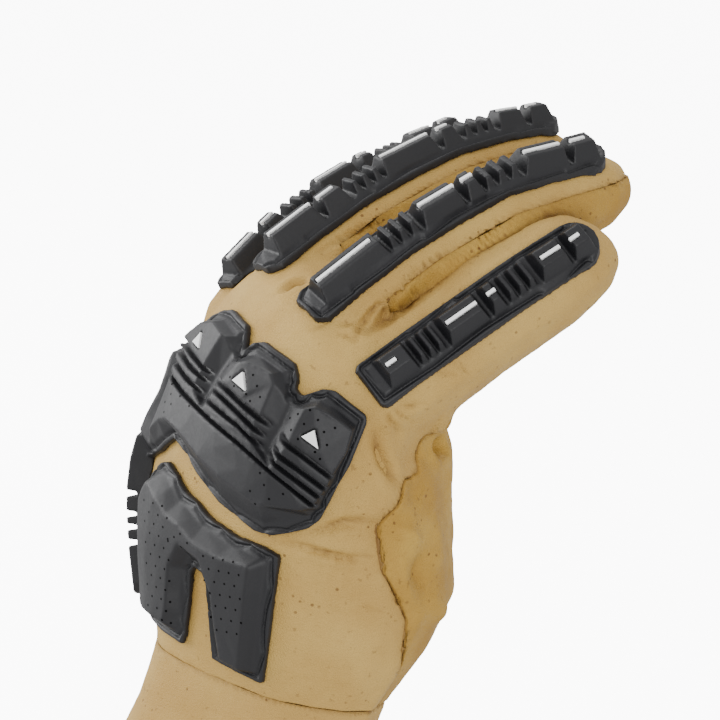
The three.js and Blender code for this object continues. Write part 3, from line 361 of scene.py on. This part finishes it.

# The folds and dents of the leather, which the bent fingers and the thumb press into it. Each
# runs through pixels of the photograph, and its half width and depth are in millimetres. A
# negative depth stands out. Shade is painted into the leather's colour as well: darker in the
# narrow folds, beside the seams and in the crevices between the fingers.
folds = [
    {"name": "valley under the lobe", "wide": 1.7, "deep": 1.7,
     "pixels": [(374, 433), (378, 447), (383, 462), (390, 473), (396, 481)]},
    {"name": "beside the valley", "wide": 0.8, "deep": 0.6,
     "pixels": [(381, 452), (387, 468), (393, 482)]},
    {"name": "fan, first", "wide": 0.9, "deep": 0.9,
     "pixels": [(386, 411), (392, 423), (399, 434)]},
    {"name": "fan, second", "wide": 0.8, "deep": 0.7,
     "pixels": [(395, 411), (403, 416), (412, 423)]},
    {"name": "fan, third", "wide": 0.9, "deep": 0.8,
     "pixels": [(396, 408), (412, 407), (425, 404)]},
    {"name": "cross fold", "wide": 1.4, "deep": 1.3,
     "pixels": [(374, 523), (358, 520), (343, 522), (328, 527), (312, 532)]},
    {"name": "under the cross fold", "wide": 0.8, "deep": 0.6,
     "pixels": [(373, 531), (358, 527), (343, 527), (330, 531)]},
    {"name": "long fold", "wide": 1.1, "deep": 1.2,
     "pixels": [(280, 542), (303, 546), (327, 553), (350, 558), (372, 557)]},
    {"name": "under the long fold", "wide": 0.8, "deep": 0.6,
     "pixels": [(300, 549), (327, 556), (352, 562), (371, 566)]},
    {"name": "low crease", "wide": 0.8, "deep": 0.5,
     "pixels": [(360, 607), (372, 610), (384, 613)]},
    {"name": "pad of the hand's edge", "wide": 4.5, "deep": -1.6,
     "pixels": [(383, 497), (390, 500)]},
    {"name": "pad over the cross fold", "wide": 4, "deep": -0.8,
     "pixels": [(345, 508), (365, 508)]},
    {"name": "pit by the palm's edge", "wide": 2.2, "deep": 2.6,
     "pixels": [(433, 447), (440, 445)]},
    {"name": "lip of the pit", "wide": 1.5, "deep": -0.8,
     "pixels": [(421, 446), (424, 454), (434, 459)]},
    {"name": "pad above the pit", "wide": 4.5, "deep": -2,
     "pixels": [(432, 425), (447, 418)]},
    {"name": "palm's long dent", "wide": 4.2, "deep": 2.6,
     "pixels": [(424, 553), (424, 572), (428, 590)]},
    {"name": "ridge over the dent", "wide": 2, "deep": -1.3,
     "pixels": [(383, 526), (398, 529), (412, 537), (426, 546)]},
    {"name": "edge of the palm", "wide": 2, "deep": -0.9,
     "pixels": [(401, 556), (402, 580), (411, 603), (422, 614)]},
    {"name": "palm's upper dent", "wide": 4, "deep": 1.1,
     "pixels": [(408, 489), (425, 495)]},
    {"name": "palm's low pad", "wide": 4, "deep": -1.4,
     "pixels": [(432, 603), (438, 612)]},
    {"name": "web of the little finger", "wide": 0.9, "deep": 1.6,
     "pixels": [(355, 340), (359, 328), (370, 313), (378, 305), (391, 299)]},
    {"name": "ring finger's seam", "wide": 0.7, "deep": 1,
     "pixels": [(391, 299), (400, 291), (407, 282), (420, 270), (437, 258), (457, 247)]},
    {"name": "valley by the little finger", "wide": 1.7, "deep": 1.5,
     "pixels": [(366, 332), (380, 322), (395, 315), (417, 300), (438, 279)]},
    {"name": "pit in the web, first", "wide": 1.9, "deep": 1.4,
     "pixels": [(381, 313), (385, 312), (390, 313)]},
    {"name": "pit in the web, second", "wide": 1.8, "deep": 1.3,
     "pixels": [(412, 294), (416, 291), (420, 289)]},
    {"name": "ridge over the web", "wide": 1.6, "deep": -0.8,
     "pixels": [(372, 338), (392, 328), (414, 312), (436, 292)]},
    {"name": "middle finger's seam", "wide": 0.8, "deep": 1,
     "pixels": [(318, 251), (330, 245), (352, 235), (372, 225), (397, 213), (418, 203)]},
    {"name": "web of the ring finger", "wide": 1.2, "deep": 1.8,
     "pixels": [(283, 290), (292, 284), (305, 280)]},
    {"name": "root wrinkle, first", "wide": 0.8, "deep": 0.6,
     "pixels": [(338, 322), (348, 324), (357, 322)]},
    {"name": "root wrinkle, second", "wide": 0.8, "deep": 0.7,
     "pixels": [(338, 333), (348, 336), (355, 341)]},
    {"name": "root wrinkle, third", "wide": 0.9, "deep": 0.6,
     "pixels": [(330, 318), (322, 325), (312, 330)]},
    {"name": "finger wrinkle, first", "wide": 0.8, "deep": 0.5,
     "pixels": [(437, 372), (449, 373), (458, 377)]},
    {"name": "finger wrinkle, second", "wide": 0.8, "deep": 0.5,
     "pixels": [(455, 364), (462, 368), (470, 375)]},
]
shells = [back_shell, palm_shell, thumb, cuff]
skins = [BVHTree.FromObject(shell, bpy.context.evaluated_depsgraph_get()) for shell in shells[:2]]
guards_surface = surface_of(guard_nodes)
photo_width = 720
pixels_a_step = 3
lens_pixels = camera.data.lens / camera.data.sensor_width * photo_width


def seen(surfaces, x, y):
    """Where the ray through a pixel of the photograph meets the nearest of some surfaces."""
    across = (x - photo_width / 2) / lens_pixels
    down = (y - photo_width / 2) / lens_pixels
    ray = (right * across - top * down - to_camera).normalized()
    hits = [surface.ray_cast(eye, ray) for surface in surfaces]
    hits = [hit for hit in hits if hit[0] is not None]
    return min(hits, key=lambda hit: hit[3]) if hits else None


def fold_line(pixels):
    """A fold's points and outward directions on the leather, with more between the given ones."""
    points, outs = [], []
    for (x0, y0), (x1, y1) in zip(pixels, pixels[1:]):
        steps = max(2, int(math.hypot(x1 - x0, y1 - y0) / pixels_a_step))
        for i in range(steps + 1):
            hit = seen(skins, x0 + (x1 - x0) * i / steps, y0 + (y1 - y0) * i / steps)
            if hit:
                points.append(hit[0])
                outs.append(hit[1] if hit[1].dot(to_camera) > 0 else -hit[1])
    return np.array(points), np.array(outs)


lines = [(fold, *fold_line(fold["pixels"])) for fold in folds]
deepened = 1.4
narrow = 2 * mm
seam_shade = 0.9 * mm
crevice_reach = 26 * mm
lean = 0.6
tilts = [Vector()] + [Vector(side) * lean for side in (
    (1, 0, 0), (-1, 0, 0), (0, 1, 0), (0, -1, 0), (0, 0, 1), (0, 0, -1)
)]
crumple = (
    {"size": 14 * mm, "height": 0.5 * mm},
    {"size": 6 * mm, "height": 0.2 * mm},
    {"size": 2.6 * mm, "height": 0.07 * mm},
)


def press(fold, points, outs, places, moves, shade_amounts):
    """Adds one fold to the moves of a shell's corners, and the shade it paints into the leather.
    """
    wide, deep = fold["wide"] * mm, deepened * fold["deep"] * mm
    reach = 3.5 * wide
    near = np.all((places > points.min(0) - reach) & (places < points.max(0) + reach), axis=1)
    spans = np.linalg.norm(places[near][:, None] - points[None], axis=2)
    nearest = spans.argmin(1)
    away = spans[np.arange(len(nearest)), nearest]
    along = nearest / max(1, len(points) - 1)
    taper = 0.3 + 0.7 * np.sin(np.pi * along) if len(points) > 4 else 1
    trough = np.exp(-((away / wide) ** 2))
    lips = 0.3 * np.exp(-(((away - 2 * wide) / wide) ** 2)) if deep > 0 else 0
    moves[near] -= outs[nearest] * (deep * taper * (trough - lips))[:, None]
    # Narrow folds also paint shade into the leather's colour.
    if wide < narrow:
        shade = taper * np.exp(-((away / wide * 2) ** 2)) * deep / mm * 0.5
        shade_amounts[near] = np.maximum(shade_amounts[near], shade)


def shade_at(place, normal, others):
    """Shade painted into the leather at a place, beside a seam or in a crevice between fingers."""
    dark = 0
    seam = [other.find_nearest(place, seam_shade)[3] for other in others]
    seam = [away for away in seam if away is not None]
    if seam:
        dark = 0.5 * (1 - min(seam) / seam_shade)
    open_share = 0
    for tilt in tilts:
        ray = (normal + tilt).normalized()
        start = place + 0.6 * mm * normal
        spans = [skin.ray_cast(start, ray, crevice_reach)[3] for skin in skins]
        spans = [span for span in spans if span is not None]
        open_share += min(spans + [crevice_reach]) / crevice_reach
    return max(dark, 1.1 * (1 - open_share / len(tilts)))


for shell in shells:
    places = corners(shell)
    moves = np.zeros_like(places)
    shade_amounts = np.zeros(len(places))
    for fold, points, outs in lines:
        if len(points):
            press(fold, points, outs, places, moves, shade_amounts)
    normals = directions(shell)
    others = [skin for skin, owner in zip(skins, shells) if owner is not shell]
    for i, place in enumerate(places):
        # Painted shade beside the seams and in the crevices between the fingers, found by casting
        # rays.
        shade_amounts[i] = max(shade_amounts[i], shade_at(Vector(place), Vector(normals[i]), others))
        near = guards_surface.find_nearest(Vector(place), 4 * mm)[3]
        free = 1 if near is None else min(1, max(0, (near - 0.6 * mm) / (3 * mm)))
        for wave in crumple:
            lift = wave["height"] * free * noise.noise(Vector(place) / wave["size"])
            moves[i] += normals[i] * lift
        if free < 1:
            outwards = max(0, float(moves[i] @ normals[i]))
            moves[i] -= normals[i] * outwards * (1 - free)
    put_corners(shell, places + moves)
    # The painted shade goes to the leather materials as an attribute of each corner.
    painted_shade = shell.data.attributes.new("painted_shade", "FLOAT", "POINT")
    painted_shade.data.foreach_set("value", np.clip(shade_amounts, 0, 1))

# The guards: matt black rubber mouldings with soft edges, sewn to the leather through a groove
# round their flanges.
def rubber_look():
    """Matt black rubber, a little uneven in colour and gloss."""
    material, shader, where = new_material("black_rubber")
    fine = where.cloud(900, 2.0)
    broad = where.cloud(60, 3.0)
    broad.mix((0.006, 0.006, 0.0075, 1), (0.011, 0.011, 0.013, 1)).into(shader, "Base Color")
    (0.42 + 0.14 * fine).into(shader, "Roughness")
    bump = where.get("ShaderNodeBump", Height=fine, Strength=0.12, Distance=0.2 * mm)
    bump.into(shader, "Normal")
    shader.inputs["Specular IOR Level"].default_value = 0.4
    return material


rubber = rubber_look()
leather_surface = surface_of(back_nodes + palm_nodes)
flange_height = 2.2 * mm
wall_height = 0.8 * flange_height
steepest_wall = 0.6
rim_start, rim_end = 1.6 * mm, 2.4 * mm
rim_turns = 7
bead_height, bead_width = 0.2 * mm, 0.55 * mm
groove_depth, groove_width = 0.75 * mm, 0.4 * mm


def eased(value, low, high):
    """0 below low, 1 above high and smooth between."""
    share = min(1, max(0, (value - low) / (high - low)))
    return share * share * (3 - 2 * share)


def flange_walls(node):
    """The side walls of a guard's flange, for finding how far off its edge a place is."""
    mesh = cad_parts[node].data
    points = [vertex.co.copy() for vertex in mesh.vertices]
    walls = []
    for face in mesh.polygons:
        _, out, _, height = leather_surface.find_nearest(face.center)
        if height < wall_height and abs(out.dot(face.normal)) < steepest_wall:
            walls.append(list(face.vertices))
    return BVHTree.FromPolygons(points, walls)


def round_rim(guard, walls):
    """Smooths a guard near the side walls of its flange."""
    rim = guard.vertex_groups.new(name="rim")
    for i, place in enumerate(corners(guard)):
        away = walls.find_nearest(Vector(place), rim_end)[3]
        if away is not None:
            rim.add([i], 1 - eased(away, rim_start, rim_end), "REPLACE")
    bpy.context.view_layer.objects.active = guard
    rounded = guard.modifiers.new("rounded", "SMOOTH")
    rounded.vertex_group = "rim"
    rounded.factor = 0.5
    rounded.iterations = rim_turns
    bpy.ops.object.modifier_apply(modifier=rounded.name)


def mould_flange(guard, walls, bead_at, groove_at):
    """Levels the flange over the leather, with a bead along its edge and the sewing groove."""
    places = corners(guard)
    normals = directions(guard)
    for i, place in enumerate(places):
        spot = Vector(place)
        away = walls.find_nearest(spot, 3.2 * mm)[3]
        if away is None:
            continue
        near, _, _, height = skins[0].find_nearest(spot, 5 * mm)
        if near is None or not 0.9 * mm < height < 3.6 * mm:
            continue
        out = (spot - near) / height
        flat = eased(out.dot(Vector(normals[i])), 0.5, 0.9)
        flat *= 1 - eased(height, 2.7 * mm, 3.6 * mm)
        level = flat * (1 - eased(away, 1.9 * mm, 3.1 * mm))
        bead = bead_height * math.exp(-(((away - bead_at) / bead_width) ** 2))
        groove = groove_depth * math.exp(-(((away - groove_at) / groove_width) ** 2))
        places[i] += np.array(out) * (level * (flange_height - height) + flat * (bead - groove))
    put_corners(guard, places)


guard_rows = [
    {"node": "knuckle_guard", "voxel": 0.46, "turns": 3, "bead": 0.8, "groove": 1.9},
    {"node": "hand_back_guard", "voxel": 0.45, "turns": 12, "bead": 0.8, "groove": 1.9},
    {"node": "index_finger_guard", "voxel": 0.46, "turns": 2, "bead": 0.7, "groove": 1.6},
    {"node": "middle_finger_guard", "voxel": 0.39, "turns": 2, "bead": 0.7, "groove": 1.6},
    {"node": "ring_finger_guard", "voxel": 0.38, "turns": 2, "bead": 0.7, "groove": 1.6},
    {"node": "pinky_finger_guard", "voxel": 0.38, "turns": 2, "bead": 0.7, "groove": 1.6},
]
mouldings = {}
for row in guard_rows:
    node = row["node"]
    fine = row["voxel"] * mm * coarser
    moulding = soft_copy(node.replace("guard", "moulding"), [node], 0, fine, row["turns"])
    moulding.data.materials.append(rubber)
    walls = flange_walls(node)
    round_rim(moulding, walls)
    mould_flange(moulding, walls, row["bead"] * mm, row["groove"] * mm)
    mouldings[node] = moulding

# The pinholes of the knuckle and hand-back guards: flat near-black discs laid just proud of the
# rubber, painted shade that stands for the dark inside of each hole. A group gives the pixel of
# each in the photograph, and a grid its first pixel and the steps to the next in pixels, with
# every other row half a column on.
hole, shader, where = new_material("pinhole_painted_shade")
spots = where.cloud(900, 2.0)
spots.mix((0.001, 0.001, 0.001, 1), (0.002, 0.002, 0.002, 1)).into(shader, "Base Color")
shader.inputs["Roughness"].default_value = 0.9
shader.inputs["Specular IOR Level"].default_value = 0.05
pinhole_size = 0.36 * mm
pinhole_sides = 10
proud = 0.03 * mm
pinhole_groups = [
    {"name": "little finger's lobe, left", "on": "knuckle_guard",
     "pixels": [(310, 410), (298, 414), (290, 418), (304, 424), (291, 430), (298, 439)]},
    {"name": "little finger's lobe, right", "on": "knuckle_guard",
     "pixels": [(318, 420), (324, 432), (335, 428), (327, 445), (315, 452), (320, 459)]},
    {"name": "ring finger's lobe", "on": "knuckle_guard",
     "pixels": [(237, 361), (228, 366), (230, 377), (234, 386), (253, 375), (257, 386),
         (246, 394), (260, 397), (250, 401)]},
    {"name": "band, left", "on": "knuckle_guard",
     "pixels": [(172, 384), (171, 394), (180, 396), (165, 402), (171, 404), (164, 412),
         (189, 406)]},
    {"name": "band, right", "on": "knuckle_guard",
     "pixels": [(260, 473), (264, 485), (283, 494), (269, 499), (255, 504), (250, 491)]},
    {"name": "hand-back, middle", "on": "hand_back_guard",
     "pixels": [(174, 537), (180, 534), (187, 543), (181, 547), (168, 541)]},
]
pinhole_grids = [
    {"name": "hand-back, left leg", "start": (144, 500), "columns": 3, "rows": 12,
     "column": (9, 3), "row": (0.4, 10.5)},
    {"name": "hand-back, right leg", "start": (203, 556), "columns": 4, "rows": 7,
     "column": (10, 2), "row": (0.6, 12)},
]
places_on = {"knuckle_guard": [], "hand_back_guard": []}
for group in pinhole_groups:
    places_on[group["on"]] += group["pixels"]
for grid in pinhole_grids:
    for row in range(grid["rows"]):
        for column in range(grid["columns"]):
            across = column + 0.5 * (row % 2)
            places_on["hand_back_guard"].append([
                grid["start"][axis] + across * grid["column"][axis] + row * grid["row"][axis]
                for axis in (0, 1)
            ])
bpy.ops.object.select_all(action="DESELECT")
bpy.ops.mesh.primitive_circle_add(
    vertices=pinhole_sides, radius=pinhole_size, fill_type="NGON"
)
pit = bpy.context.object
for node, pixels in places_on.items():
    surface = BVHTree.FromObject(mouldings[node], bpy.context.evaluated_depsgraph_get())
    pits = []
    for x, y in pixels:
        hit = seen([surface], x, y)
        if not hit:
            continue
        spot, out = hit[0], hit[1]
        copy = pit.copy()
        copy.data = pit.data.copy()
        bpy.context.collection.objects.link(copy)
        turned = out.to_track_quat("Z", "Y").to_matrix().to_4x4()
        copy.matrix_world = Matrix.Translation(spot + proud * out) @ turned
        pits.append(copy)
    bpy.ops.object.select_all(action="DESELECT")
    for copy in pits:
        copy.select_set(True)
    bpy.context.view_layer.objects.active = pits[0]
    bpy.ops.object.join()
    bpy.ops.object.transform_apply(location=True, rotation=True, scale=True)
    pinholes = bpy.context.view_layer.objects.active
    pinholes.name = pinholes.data.name = node.replace("guard", "pinholes")
    pinholes.data.materials.clear()
    pinholes.data.materials.append(hole)
    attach(pinholes, "root")
bpy.data.objects.remove(pit)

# The dashes and triangles: white rubber let into the tops of the guards. The CAD's own pieces
# show, in a slightly uneven white.
white, shader, where = new_material("white_rubber")
shades = where.cloud(200, 2.0)
shades.mix((0.9, 0.9, 0.89, 1), (0.96, 0.96, 0.95, 1)).into(shader, "Base Color")
shader.inputs["Roughness"].default_value = 0.5
for name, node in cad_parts.items():
    if "dash" in name or "triangle" in name:
        node.data.materials.clear()
        node.data.materials.append(white)
